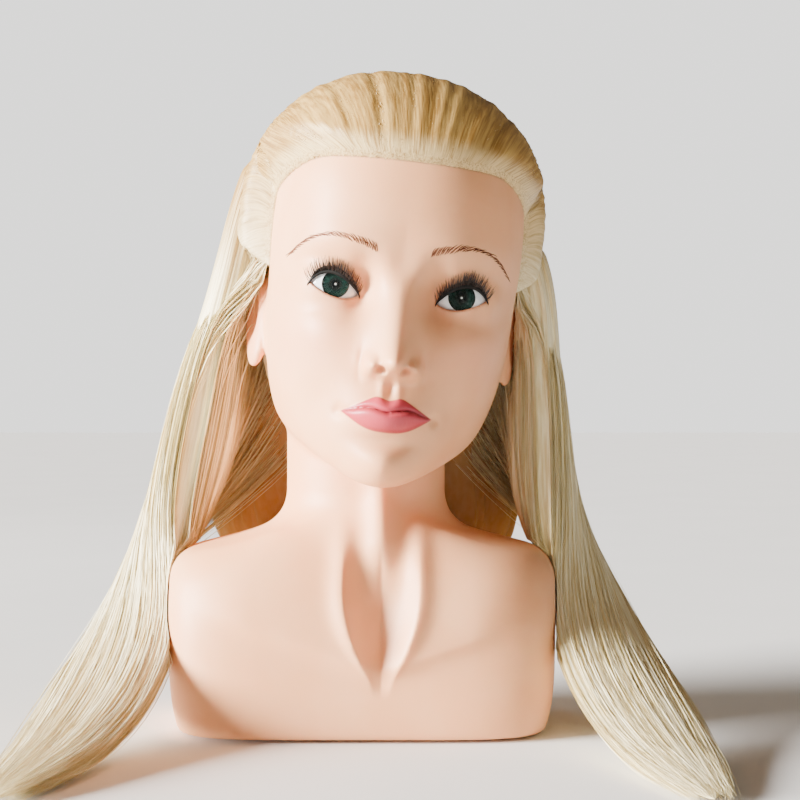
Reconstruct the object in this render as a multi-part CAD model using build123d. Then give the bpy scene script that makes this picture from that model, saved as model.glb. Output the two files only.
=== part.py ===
"""Mannequin training head with shoulders: a vinyl skin over a foam core, inset eyes and long rooted hair.

Row frame, in millimetres: +Z up, the face looks along -Y, and +X is the figure's own left side.
The origin is the mouth of the clamp socket in the underside, level with the surface that the feet rest on.
The head is modelled in a frame of its own, (u, v, w), which leans and turns on the neck.
"""

from build123d import *
from math import cos, pi, radians, sin, sqrt
import os

# Overall sizes
BUST_WIDTH = 221.0
BUST_FRONT = 62.0
BUST_BACK = 58.0
FOOT_HEIGHT = 2.0
WALL = 3.5
GLUE = 0.3
GAP = 0.6

# The head's frame
NECK_PIVOT = (3.0, -2.0, 125.0)
HEAD_LEAN = 6.0
HEAD_TURN = 4.0
HEAD = Pos(*NECK_PIVOT) * Rot(0, HEAD_LEAN, 0) * Rot(0, 0, HEAD_TURN)

# The head's own heights, widths and depths
HEAD_TOP = 239.0
HEAD_HALF_WIDTH = 72.0
EYE_LINE = 122.5
HAIRLINE = 192.0
WINDOW_CORNER = 34.0
TEMPLE_DEPTH = -12.0
BEHIND_EAR = 26.0
EAR_LINE = 134.0
NAPE_LINE = 66.0
NOSE_BASE = 77.0
MOUTH_LINE = 59.0
MOUTH_HALF_WIDTH = 25.0

# Eyes
EYE_SPACING = 68.0
EYE_R = 20.0
EYE_DEPTH = -56.3
EYE_BACK = 9.0
EYE_WALL = 3.0
EYE_FIT = 0.5
OPENING_HALF_WIDTH = 15.5
OPENING_HALF_HEIGHT = 6.8
IRIS_R = 7.4
PUPIL_R = 2.9
IRIS_SINK = 2.4
IRIS_THICKNESS = 0.6
CORNEA_R = 12.0
CORNEA_PROUD = 0.6
EYE_SEAM = 0.05

# Lashes
LASH_BAND = 0.9
LASH_LENGTH = 10.0
LASH_THICKNESS = 0.7

# Clamp socket and base
SOCKET_R = 12.7
SOCKET_DEPTH = 80.0
SOCKET_WALL = 2.5
FLANGE_R = 30.0
FLANGE_THICKNESS = 3.0
PLATE_THICKNESS = 4.0
PLATE_HALF_WIDTH = 86.5
PLATE_FRONT = -44.5
PLATE_BACK = 41.5
PLATE_SCREWS = (136.0, 50.0)
SOCKET_SCREW_CIRCLE = 23.0
FOOT_SPACING = (110.0, 56.0)
FOOT_R = 8.0
SCREW_R = 2.0
SCREW_HEAD_R = 3.9
SCREW_HEAD = 1.6
SCREW_LENGTH = 14.0
SMALL_SCREW_R = 1.5
SMALL_HEAD_R = 2.9
SMALL_HEAD = 1.2
BITE = 0.02
ANCHOR_R = 4.0
ANCHOR_LENGTH = 20.0

# Hair
HAIR_LIFT = 15.0
HAIR_SHIFT = 4.0
HAIR_SPLIT = 150.0

SECTION_POINTS = 20
FAR = 500.0
UPWARD = (Align.CENTER, Align.CENTER, Align.MIN)


def egg(half_width, front, back, front_power, back_power, grow, widest):
    """A closed outline: one superellipse in front of its widest line and another behind it."""
    points = []
    for k in range(SECTION_POINTS):
        angle = 2 * pi * k / SECTION_POINTS
        c, s = cos(angle), sin(angle)
        power = back_power if s > 0 else front_power
        reach = back - widest + grow if s > 0 else widest - front + grow
        x = (half_width + grow) * abs(c) ** (2 / power) * (1 if c > 0 else -1)
        y = widest + reach * abs(s) ** (2 / power) * (1 if s > 0 else -1)
        points.append((x, y))
    return make_face(Spline(*points, periodic=True)).face()


# Bust: height, half width, front, back, and how square its outline is
BUST_SECTIONS = [
    (FOOT_HEIGHT, 103.5, -58.5, 52.0, 4.7),
    (6.0, 105.5, -60.0, 54.5, 4.7),
    (14.0, 107.5, -61.0, 56.0, 4.6),
    (30.0, 109.5, -61.5, 57.5, 4.5),
    (52.0, 110.2, -BUST_FRONT, BUST_BACK, 4.2),
    (76.0, BUST_WIDTH / 2, -61.0, BUST_BACK, 3.8),
    (89.0, 109.5, -58.5, 57.5, 3.4),
    (98.0, 103.0, -55.0, 56.0, 3.1),
    (105.0, 92.5, -51.0, 54.5, 2.9),
    (111.0, 76.0, -46.0, 53.0, 2.7),
    (117.0, 60.0, -41.0, 52.0, 2.7),
    (124.0, 50.0, -38.5, 51.0, 2.7),
]
# Head, in its own frame: height, half width, front, back, front power
HEAD_SECTIONS = [
    (8.0, 46.0, -38.0, 51.0, 2.1),
    (15.0, 45.5, -66.0, 51.5, 1.7),
    (22.0, 46.5, -80.0, 53.0, 1.7),
    (31.0, 49.5, -85.0, 55.0, 1.75),
    (42.0, 54.5, -86.5, 59.0, 1.9),
    (MOUTH_LINE, 62.0, -86.0, 67.0, 2.1),
    (80.0, 67.5, -85.5, 77.0, 2.3),
    (100.0, 70.0, -84.5, 85.0, 2.45),
    (EYE_LINE, 71.0, -84.0, 89.0, 2.6),
    (145.0, HEAD_HALF_WIDTH, -88.5, 91.0, 2.6),
    (168.0, HEAD_HALF_WIDTH, -89.0, 91.0, 2.5),
    (190.0, 69.5, -84.0, 86.0, 2.35),
    (209.0, 62.0, -72.0, 77.0, 2.2),
    (224.0, 49.0, -54.0, 61.0, 2.1),
    (233.5, 31.0, -31.0, 42.0, 2.0),
    (HEAD_TOP - 1.0, 13.0, -9.0, 19.0, 2.0),
]
WIDEST_DEPTH = 5.0
DOME_BASE = 140.0


def body(grow):
    """The bust, neck and head as one smooth solid, offset outwards by grow, and upwards over the dome.

    An inward offset starts lower down, so that it opens the underside.
    """
    faces = []
    for z, half_width, front, back, power in BUST_SECTIONS:
        level = z + min(grow, 0.0) if z == FOOT_HEIGHT else z
        faces.append(Pos(0, 0, level) * egg(half_width, front, back, power, power, grow, 0.0))
    for w, half_width, front, back, power in HEAD_SECTIONS:
        rise = max(0.0, (w - DOME_BASE) / (HEAD_TOP - DOME_BASE))
        outline = egg(half_width, front, back, power, 2.2, grow * sqrt(1 - rise**2), WIDEST_DEPTH)
        faces.append(HEAD * Pos(0, 0, w + grow * rise) * outline)
    return loft(faces)


def blob(u, v, w, half_u, half_v, half_w, tilt=0.0):
    """An ellipsoid in the head's frame, tilted about u."""
    return HEAD * Pos(u, v, w) * Rot(tilt, 0, 0) * scale(Sphere(1.0), by=(half_u, half_v, half_w))


def nose():
    """The nose as a loft from the bridge to its base."""
    levels = [
        (118.0, 5.0, -82.0, 4.0),
        (103.0, 7.0, -86.0, 8.0),
        (91.0, 11.0, -89.0, 14.0),
        (82.0, 14.0, -90.0, 16.0),
        (NOSE_BASE, 12.0, -87.5, 11.0),
    ]
    return loft([HEAD * Pos(0, v, w) * Ellipse(half_u, half_v).face() for w, half_u, v, half_v in levels])


def ears(grow):
    """Both ears, lying close to the head and leaning back."""
    right, left = (blob(side * 73.0, 14.0, 101.0, 5.5 + grow, 15.0 + grow, 29.0 + grow, -12.0)
                   for side in (-1, 1))
    return right + left


def lips(grow):
    """The mouth as two soft ridges, one above the other."""
    upper = blob(0, -86.0, MOUTH_LINE + 3.5, MOUTH_HALF_WIDTH + grow, 6.5 + grow, 4.5 + grow)
    lower = blob(0, -85.0, MOUTH_LINE - 5.0, MOUTH_HALF_WIDTH - 5.0 + grow, 7.5 + grow, 5.5 + grow)
    return upper + lower


def face_window(grow=0.0):
    """The part of the figure that the hair leaves bare: the face, the ears and everything below the nape."""
    half_width = HEAD_HALF_WIDTH + 5.0
    top = HAIRLINE + grow
    outline = Pos(0, top - FAR / 2) * RectangleRounded(2 * half_width, FAR, WINDOW_CORNER)
    front = Pos(0, TEMPLE_DEPTH + grow, 0) * Rot(90, 0, 0) * extrude(outline, FAR)
    back, top_of_ear, round_ear = BEHIND_EAR + grow, EAR_LINE + grow, 12.0
    beside_ear = extrude(Plane.YZ * Polygon(
        (-FAR, -FAR), (back, -FAR), (back, top_of_ear - round_ear), (back - round_ear, top_of_ear),
        (-FAR, top_of_ear), align=None), FAR, both=True)
    below_nape = Pos(0, 0, NAPE_LINE + grow - FAR / 2) * Box(2 * FAR, 2 * FAR, FAR)
    return HEAD * (front + beside_ear + below_nape)


def eye_frame(side):
    """The centre of one eyeball, with its axis out of the face."""
    return HEAD * Pos(side * EYE_SPACING / 2, EYE_DEPTH, EYE_LINE) * Rot(90, 0, 0)


def almond():
    """The opening between the lids."""
    right, left = (OPENING_HALF_WIDTH, 0), (-OPENING_HALF_WIDTH, 0)
    upper = ThreePointArc(left, (0, OPENING_HALF_HEIGHT), right)
    lower = ThreePointArc(right, (0, -OPENING_HALF_HEIGHT + 0.8), left)
    return make_face([upper, lower])


def eye_pieces(side):
    """One inset eye: white shell, iris disc, pupil and clear front lens."""
    place = eye_frame(side)
    ball = Sphere(EYE_R)
    cap = ball & upright(FAR, EYE_BACK, FAR)
    hollow = Sphere(EYE_R - EYE_WALL - IRIS_SINK) & upright(FAR, EYE_BACK - 1.0, FAR)
    floor = EYE_R - IRIS_SINK
    white = cap - hollow - upright(IRIS_R, floor, EYE_R)
    iris = upright(IRIS_R - EYE_SEAM, floor, IRIS_THICKNESS) - upright(PUPIL_R, floor, EYE_R)
    pupil = upright(PUPIL_R - EYE_SEAM, floor, IRIS_THICKNESS)
    dome = Pos(0, 0, EYE_R + CORNEA_PROUD - CORNEA_R) * Sphere(CORNEA_R)
    cornea = dome & upright(IRIS_R - EYE_SEAM, floor + IRIS_THICKNESS, EYE_R)
    pieces = {"eye_white": white, "iris": iris, "pupil": pupil, "cornea": cornea}
    return {name: place * solid for name, solid in pieces.items()}


def lash_pieces(side, skin_side, air_side):
    """The strip lash on one upper lid: a thin band that hugs the skin, and its fan of hair."""
    place = eye_frame(side)
    half = OPENING_HALF_WIDTH + 1.0
    lid = Wire([ThreePointArc((-half, 1.0), (0, OPENING_HALF_HEIGHT + 1.4), (half, 1.0))])
    strip = make_face(lid.offset_2d(LASH_BAND / 2, side=Side.BOTH))
    band = (place * Pos(0, 0, EYE_R - 6.0) * extrude(strip, 20.0) & air_side) - skin_side
    root = make_face(lid.offset_2d(LASH_THICKNESS / 2, side=Side.BOTH)).face()
    tip = Pos(0, 3.5, LASH_LENGTH) * scale(root, by=1.15)
    fan = place * Pos(0, 0, EYE_R + 3.0) * loft([root, tip.face()], ruled=True) - air_side
    return {"lash_band": band, "lashes": fan}


def corners(spacing):
    """The four corners of a rectangle."""
    return [(x * spacing[0] / 2, y * spacing[1] / 2) for x in (-1, 1) for y in (-1, 1)]


def upright(radius, bottom, height):
    """A cylinder that stands on the height bottom."""
    return Pos(0, 0, bottom) * Cylinder(radius, height, align=UPWARD)


def countersink(head_r, radius, head):
    """A screw head's cone, its wide face down at height 0."""
    return Cone(head_r, radius, head, align=UPWARD)


def screw(radius, head_r, head, length):
    """A countersunk screw, its head's face down at height 0, with a cross recess."""
    blank = upright(radius, 0, length) + countersink(head_r, radius, head)
    recess = Box(head_r * 1.1, 0.9, head) + Box(0.9, head_r * 1.1, head)
    return blank - recess


def base_pieces():
    """Socket tube, base plate, anchors, screws and foot pads."""
    plate_bottom = FOOT_HEIGHT
    plate_top = plate_bottom + PLATE_THICKNESS
    tube = upright(SOCKET_R + SOCKET_WALL, 0, SOCKET_DEPTH + SOCKET_WALL)
    flange = upright(FLANGE_R, 0, FLANGE_THICKNESS)
    socket = chamfer((tube + flange).edges().filter_by(GeomType.CIRCLE).group_by(Axis.Z)[0], 0.6)
    socket -= upright(SOCKET_R, -1, SOCKET_DEPTH + 1)
    plate = Pos(0, 0, plate_bottom) * extrude(
        egg(PLATE_HALF_WIDTH, PLATE_FRONT, PLATE_BACK, 2.7, 2.7, 0, 0.0), PLATE_THICKNESS)
    plate -= upright(FLANGE_R + GAP / 2, 0, FLANGE_THICKNESS + GLUE)
    plate -= upright(SOCKET_R + SOCKET_WALL + GAP / 2, 0, plate_top + 1)
    plate_screw = screw(SCREW_R, SCREW_HEAD_R, SCREW_HEAD, SCREW_LENGTH)
    small_screw = screw(SMALL_SCREW_R, SMALL_HEAD_R, SMALL_HEAD, PLATE_THICKNESS)
    sites = [Pos(x, y, plate_bottom) for x, y in corners(PLATE_SCREWS)]
    turns = [pi / 2 + k * 2 * pi / 3 for k in range(3)]
    small_sites = [Pos(SOCKET_SCREW_CIRCLE * cos(turn), SOCKET_SCREW_CIRCLE * sin(turn), 0) for turn in turns]
    for site in sites:
        plate -= site * upright(SCREW_R + GLUE, -1, PLATE_THICKNESS + 2)
        plate -= site * countersink(SCREW_HEAD_R + GLUE, SCREW_R + GLUE, SCREW_HEAD)
    for site in small_sites:
        socket -= site * upright(SMALL_SCREW_R + GLUE, -1, FLANGE_THICKNESS + 2)
        socket -= site * countersink(SMALL_HEAD_R + GLUE, SMALL_SCREW_R + GLUE, SMALL_HEAD)
        plate -= site * upright(SMALL_SCREW_R + BITE, 0, PLATE_THICKNESS + 0.5)
    anchor = upright(ANCHOR_R, plate_top + GLUE, ANCHOR_LENGTH)
    anchor -= upright(SCREW_R + BITE, 0, FOOT_HEIGHT + SCREW_LENGTH + 1)
    feet = [Pos(x, y, 0) * chamfer(upright(FOOT_R, 0, FOOT_HEIGHT).edges().group_by(Axis.Z)[0], 0.5)
            for x, y in corners(FOOT_SPACING)]
    return {
        "socket_tube": socket,
        "base_plate": plate,
        "base_screws": Compound([site * plate_screw for site in sites]),
        "socket_screws": Compound([site * small_screw for site in small_sites]),
        "screw_anchors": Compound([Pos(site.position.X, site.position.Y, 0) * anchor for site in sites]),
        "foot_pads": Compound(feet),
    }


# Each side fall: distance from the middle, depth, height, width, thickness, turn of the width from Y
RIGHT_FALL = [
    (60.0, 20.0, 338.0, 50.0, 14.0, 0),
    (62.0, 24.0, 318.0, 60.0, 26.0, 0),
    (70.0, 30.0, 290.0, 66.0, 28.0, 0),
    (77.0, 34.0, 262.0, 68.0, 30.0, 0),
    (85.0, 36.0, 232.0, 70.0, 32.0, 0),
    (92.0, 37.0, 200.0, 72.0, 40.0, 0),
    (98.0, 36.0, 168.0, 74.0, 44.0, 0),
    (109.0, 34.0, 130.0, 74.0, 40.0, 5),
    (122.0, 26.0, 98.0, 70.0, 32.0, 18),
    (130.0, 5.0, 66.0, 64.0, 23.0, 40),
    (135.0, -30.0, 42.0, 62.0, 18.0, 62),
    (143.0, -72.0, 21.0, 56.0, 16.0, 78),
    (150.0, -118.0, 8.5, 46.0, 13.0, 85),
    (159.0, -158.0, 5.5, 32.0, 8.5, 88),
    (167.0, -188.0, 3.6, 16.0, 5.0, 90),
]
LEFT_FALL = [
    (92.0, 28.0, 290.0, 60.0, 22.0, 0),
    (98.0, 32.0, 262.0, 66.0, 30.0, 0),
    (103.0, 36.0, 232.0, 70.0, 29.0, 0),
    (104.0, 37.0, 200.0, 72.0, 32.0, 0),
    (105.0, 36.0, 168.0, 74.0, 36.0, 0),
    (109.0, 34.0, 130.0, 74.0, 38.0, 5),
    (121.0, 26.0, 98.0, 70.0, 31.0, 18),
    (133.0, 5.0, 66.0, 64.0, 23.0, 40),
    (139.0, -30.0, 42.0, 62.0, 18.0, 62),
    (150.0, -72.0, 21.0, 56.0, 16.0, 78),
    (157.0, -118.0, 8.5, 46.0, 13.0, 85),
    (163.0, -158.0, 5.5, 32.0, 8.5, 88),
    (167.0, -188.0, 3.6, 16.0, 5.0, 90),
]
# The fall behind the neck: depth, height, width, thickness
BACK_STATIONS = [
    (86.0, 200.0, 146.0, 22.0),
    (86.0, 172.0, 152.0, 24.0),
    (80.0, 142.0, 152.0, 24.0),
    (73.0, 120.0, 148.0, 20.0),
    (69.0, 104.0, 138.0, 13.0),
    (68.0, 90.0, 122.0, 6.0),
]


def lock(stations):
    """A closed fall of hair through rounded sections: each a point, a width, a thickness and a turn."""
    points = [Vector(*point) for point, _, _, _ in stations]
    faces = []
    for k, (point, width, thickness, turn) in enumerate(stations):
        along = points[min(k + 1, len(points) - 1)] - points[max(k - 1, 0)]
        across = (sin(radians(turn)), cos(radians(turn)), 0)
        plane = Plane(origin=point, x_dir=across, z_dir=along)
        faces.append(plane * egg(width / 2, -thickness / 2, thickness / 2, 2.3, 2.3, 0, 0.0))
    return loft(faces)


def hair(cleared):
    """The hair in five solids: crown, nape, one fall on each side, and the fall behind the neck."""
    fuller_side = Pos(-HAIR_SHIFT, 0, 0)
    shell = fuller_side * body(HAIR_LIFT) - cleared - face_window(GAP)
    beside_shell = fuller_side * body(HAIR_LIFT + GAP)
    above = HEAD * Pos(0, 0, HAIR_SPLIT + FAR / 2) * Box(2 * FAR, 2 * FAR, FAR)
    below = HEAD * Pos(0, 0, HAIR_SPLIT - GAP - FAR / 2) * Box(2 * FAR, 2 * FAR, FAR)
    under_nape = HEAD * Pos(0, 0, NAPE_LINE - FAR / 2) * Box(2 * FAR, 2 * FAR, FAR)
    pieces = {"hair_crown": shell & above, "hair_nape": shell & below}
    for name, stations in (("hair_right", RIGHT_FALL), ("hair_left", LEFT_FALL)):
        fall = lock([((x, y, z), width, thickness, turn) for x, y, z, width, thickness, turn in stations])
        if stations is RIGHT_FALL:
            fall = mirror(fall, about=Plane.YZ)
        pieces[name] = ((fall - cleared) & under_nape) + (fall - beside_shell - under_nape)
    stations = [((5.0, y, z), width, thickness, 90) for y, z, width, thickness in BACK_STATIONS]
    pieces["hair_back"] = (lock(stations) - cleared) & under_nape
    return pieces


def figure():
    """The skin, the scalp cap and the foam that fills them, with the eyes' and the base's room cut out."""
    outer, inner, window = body(0.0), body(-WALL), face_window()
    sockets = [eye_frame(side) * Sphere(EYE_R + EYE_FIT) for side in (-1, 1)]
    openings = [eye_frame(side) * extrude(almond(), FAR) for side in (-1, 1)]
    skin = outer + nose() + ears(0.0) + lips(0.0)
    skin = skin - inner
    skin = skin & window
    for cut in (*sockets, *openings):
        skin -= cut
    scalp = outer - inner - face_window(GLUE)
    foam = body(-WALL - GLUE)
    plate_top = FOOT_HEIGHT + PLATE_THICKNESS + GLUE
    foam -= Pos(0, 0, plate_top - FAR / 2) * Box(2 * FAR, 2 * FAR, FAR)
    foam -= upright(SOCKET_R + SOCKET_WALL + GLUE, 0, SOCKET_DEPTH + SOCKET_WALL + GLUE)
    for x, y in corners(PLATE_SCREWS):
        foam -= Pos(x, y, 0) * upright(ANCHOR_R + GLUE, 0, plate_top + ANCHOR_LENGTH + GLUE)
    for cut in sockets:
        foam -= cut
    return {"bust_skin": skin, "scalp_cap": scalp, "foam_core": foam}


def main():
    os.makedirs("parts", exist_ok=True)
    nodes = {**figure(), **base_pieces(), **hair(body(GAP))}
    skin_side, air_side = body(GLUE), body(GLUE + LASH_BAND)
    for name, side in (("right", -1), ("left", 1)):
        for piece, solid in {**eye_pieces(side), **lash_pieces(side, skin_side, air_side)}.items():
            nodes[f"{name}_{piece}"] = solid
    for name, solid in nodes.items():
        export_step(solid, f"parts/{name}.step")


main()
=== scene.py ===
"""The looks of the mannequin training head: sculpted vinyl skin, inset eyes, strip lashes and long blond hair.

Sizes in the head's own frame (u to its left, v backwards, w up) and in the row frame are in millimetres.
Blender objects are in metres.
"""

from math import cos, pi, radians, sin

import bpy
import numpy as np
from mathutils import Matrix, Vector


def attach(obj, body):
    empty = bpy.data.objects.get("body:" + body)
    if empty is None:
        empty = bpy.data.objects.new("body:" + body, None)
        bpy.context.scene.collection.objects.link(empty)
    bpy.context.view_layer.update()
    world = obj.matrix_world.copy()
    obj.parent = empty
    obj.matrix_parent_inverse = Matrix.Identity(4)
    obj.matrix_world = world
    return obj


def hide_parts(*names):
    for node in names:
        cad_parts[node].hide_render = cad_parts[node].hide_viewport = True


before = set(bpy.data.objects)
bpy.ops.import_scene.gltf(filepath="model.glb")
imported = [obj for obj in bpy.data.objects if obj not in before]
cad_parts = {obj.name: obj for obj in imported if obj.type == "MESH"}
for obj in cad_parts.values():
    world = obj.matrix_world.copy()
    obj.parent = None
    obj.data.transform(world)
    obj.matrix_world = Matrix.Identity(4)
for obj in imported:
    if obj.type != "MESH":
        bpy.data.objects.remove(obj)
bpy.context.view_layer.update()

MM = 0.001

# The head's frame on the neck, as the CAD places it
NECK_PIVOT = np.array([3.0, -2.0, 125.0])
HEAD_LEAN = radians(6.0)
HEAD_TURN = radians(4.0)
LEAN = np.array([[cos(HEAD_LEAN), 0, sin(HEAD_LEAN)], [0, 1, 0], [-sin(HEAD_LEAN), 0, cos(HEAD_LEAN)]])
TURN = np.array([[cos(HEAD_TURN), -sin(HEAD_TURN), 0], [sin(HEAD_TURN), cos(HEAD_TURN), 0], [0, 0, 1]])
HEAD = LEAN @ TURN

# Face landmarks in the head's frame
EYE_U = 34.0
EYE_V = -56.3
EYE_W = 122.5
EYE_R = 20.0
LID = 1.4
INNER_CORNER = (21.3, 118.0)
OUTER_CORNER = (47.5, 122.3)
UPPER_LID_RISE = 7.3
LOWER_LID_FALL = 4.4
MOUTH_HALF = 24.4
HAIRLINE = 191.5
WINDOW_HALF = 77.0
WINDOW_CORNER = 34.0
TEMPLE_V = -12.0
BEHIND_EAR_V = 26.0
EAR_TOP_W = 134.0
EAR_ROUND = 12.0
NAPE_W = 66.0

# Hair that is below this height and behind this depth leaves the head and hangs
HANG_W = 138.0
HANG_V = -9.0


def to_row(points):
    """Points of the head's frame in the row frame."""
    return np.asarray(points) @ HEAD.T + NECK_PIVOT


def to_head(points):
    """Points of the row frame in the head's frame."""
    return (np.asarray(points) - NECK_PIVOT) @ HEAD


def spline(knots):
    """A natural cubic spline through (x, y) knots, flat beyond its ends."""
    xs, ys = (np.array(c, float) for c in zip(*knots))
    n, h = len(xs), np.diff(xs)
    a, r = np.eye(n), np.zeros(n)
    for i in range(1, n - 1):
        a[i, i - 1:i + 2] = h[i - 1], 2 * (h[i - 1] + h[i]), h[i]
        r[i] = 6 * ((ys[i + 1] - ys[i]) / h[i] - (ys[i] - ys[i - 1]) / h[i - 1])
    m = np.linalg.solve(a, r)

    def value(x):
        x = np.clip(x, xs[0], xs[-1])
        i = np.clip(np.searchsorted(xs, x) - 1, 0, n - 2)
        s, t, d = xs[i + 1] - x, x - xs[i], h[i]
        curved = (m[i] * s**3 + m[i + 1] * t**3) / (6 * d)
        return curved + (ys[i] / d - m[i] * d / 6) * s + (ys[i + 1] / d - m[i + 1] * d / 6) * t

    return value


def smooth_min(a, b, k):
    h = np.clip(0.5 + 0.5 * (b - a) / k, 0, 1)
    return b * (1 - h) + a * h - k * h * (1 - h)


def smooth_max(a, b, k):
    return -smooth_min(-a, -b, k)


def smoothstep(low, high, x):
    t = np.clip((x - low) / (high - low), 0, 1)
    return t * t * (3 - 2 * t)


def bump(u, w, at_u, at_w, spread_u, spread_w):
    """A soft round hill of height 1."""
    return np.exp(-((u - at_u) / spread_u) ** 2 - ((w - at_w) / spread_w) ** 2)


# The skull, jaw and chin: half width, front and back against height, in the head's frame
SKULL_HALF = spline([
    (4, 30), (12, 34), (22, 41), (31, 47.5), (42, 54.5), (59, 62.3), (80, 67.5), (100, 70), (122, 71),
    (145, 72), (168, 72), (190, 69.5), (208, 62), (222, 49), (231, 33), (237, 13)
])
SKULL_FRONT = spline([
    (4, -60), (12, -72), (22, -80.5), (31, -84.5), (42, -86), (59, -86), (80, -85.5), (100, -84.5),
    (122, -84.5), (145, -88.5), (168, -89), (190, -84), (208, -72), (222, -54), (231, -33), (237, -10)
])
SKULL_BACK = spline([
    (4, 30), (22, 44), (42, 59), (59, 67), (80, 77), (100, 85), (122, 89), (145, 91), (168, 91),
    (190, 86), (208, 77), (222, 61), (231, 43), (237, 20)
])
SKULL_POWER = spline([
    (4, 1.9), (22, 1.8), (42, 1.95), (59, 2.1), (80, 2.3), (100, 2.45), (122, 2.55), (145, 2.6),
    (168, 2.5), (190, 2.35), (208, 2.2), (237, 2.0)
])
SKULL_BOTTOM, SKULL_HIGH, SKULL_TOP = 13.5, 226.0, 237.5
SKULL_ROWS = np.linspace(0, 240, 481)
SKULL_STEEP = np.abs(np.gradient(SKULL_HALF(SKULL_ROWS), 0.5))
JAW_SLOPE = 0.35
WIDEST = 5.0

# The nose: how far its ridge stands out, and its half width
NOSE_RISE = spline([
    (66, 0), (70, 0.3), (73.5, 2.2), (75.5, 6.5), (77.5, 12.5), (80, 17.6), (83.5, 19.6), (87, 18.6),
    (92, 15.8), (100, 12.0), (110, 8.2), (120, 4.6), (128, 1.9), (136, 0.3), (142, 0)
])
NOSE_HALF = spline([
    (66, 10), (76, 11.5), (82, 13.5), (88, 14), (96, 14), (108, 13), (118, 12), (130, 12), (142, 13)
])

# The lips' outlines for one half of the mouth
UPPER_LIP = spline([(0, 63.6), (3, 64.4), (6, 65.2), (9.5, 64.1), (14, 61.6), (19, 58.8), (24.4, 55.9)])
LOWER_LIP = spline([(0, 46.4), (7, 46.9), (12, 48.3), (16, 50.3), (20, 52.8), (24.4, 55.5)])
PARTING = spline([(0, 57.0), (5, 57.9), (10, 58.7), (15, 58.0), (20, 56.6), (24.4, 55.7)])

# The brows' lower edge and thickness, against the distance from the middle
BROW_LOWER = spline([
    (12, 139.2), (17, 141.4), (22, 143.0), (30, 145.4), (38, 146.6), (46, 145.6), (52, 142.6),
    (60, 136.0)
])
BROW_THICK = spline([(12, 4.6), (18, 5.0), (30, 4.4), (40, 3.0), (50, 2.0), (60, 1.2)])

# Each side fall: distance from the middle, depth, height, width, thickness, turn of the width from Y
RIGHT_FALL = (
    (60, 20, 338, 50, 14, 0), (62, 24, 318, 60, 26, 0), (70, 30, 290, 66, 28, 0),
    (77, 34, 262, 68, 30, 0), (85, 36, 232, 70, 32, 0), (92, 37, 200, 72, 40, 0),
    (98, 36, 168, 74, 44, 0), (109, 34, 130, 74, 40, 5), (122, 26, 98, 70, 32, 18),
    (130, 5, 66, 64, 23, 40), (135, -30, 42, 62, 18, 62), (143, -72, 21, 56, 16, 78),
    (150, -118, 8.5, 46, 13, 85), (159, -158, 5.5, 32, 8.5, 88), (167, -188, 3.6, 16, 5, 90),
)
LEFT_FALL = (
    (92, 28, 290, 60, 22, 0), (98, 32, 262, 66, 30, 0), (103, 36, 232, 70, 29, 0),
    (104, 37, 200, 72, 32, 0), (105, 36, 168, 74, 36, 0), (109, 34, 130, 74, 38, 5),
    (121, 26, 98, 70, 31, 18), (133, 5, 66, 64, 23, 40), (139, -30, 42, 62, 18, 62),
    (150, -72, 21, 56, 16, 78), (157, -118, 8.5, 46, 13, 85), (163, -158, 5.5, 32, 8.5, 88),
    (167, -188, 3.6, 16, 5, 90),
)

# The fall behind the neck: depth, height, width, thickness
BACK_FALL = (
    (74, 254, 140, 14), (79, 228, 160, 20), (82, 200, 174, 24), (84, 172, 186, 26), (81, 142, 194, 24),
    (75, 120, 194, 20), (70, 104, 186, 14), (68, 88, 168, 7),
)

# The outside of the hair on the head, in the head's frame
CROWN_U = -3.0
CROWN_W = 170.0
CROWN_HALF = 89.0
CROWN_FRONT = 96.0
CROWN_BACK = 98.0
CROWN_HEIGHT = 83.0
CROWN_POWER = 2.08

# The crown's ridges: which way each set runs across the roots, and its spacing
RIDGE_WAYS = np.array([
    (1.0, 0.3, 0.5), (0.7, -0.5, -0.9), (-0.9, 0.8, 0.4), (0.8, 0.9, -0.7), (1.0, -0.4, 0.9)
])
RIDGE_SIZES = (1.9, 1.3, 1.05, 0.9, 0.75)


def lid_curve(t, rise):
    """The height of a lid's edge, with t from the eye's inner corner to its outer one and rise its arch."""
    t = np.clip(t, -0.3, 1.3)
    skewed = t + 0.10 * np.sin(pi * np.clip(t, 0, 1)) * (1 if rise < 0 else -1) * 0.5
    arch = 4 * skewed * (1 - skewed)
    level = INNER_CORNER[1] + (OUTER_CORNER[1] - INNER_CORNER[1]) * t
    return level + rise * np.sign(arch) * np.abs(arch) ** 0.85


def lid_edges(u):
    """The upper and the lower lid's heights at distance u from the face's middle."""
    t = (np.abs(u) - INNER_CORNER[0]) / (OUTER_CORNER[0] - INNER_CORNER[0])
    return lid_curve(t, UPPER_LID_RISE), lid_curve(t, -LOWER_LID_FALL)


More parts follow.
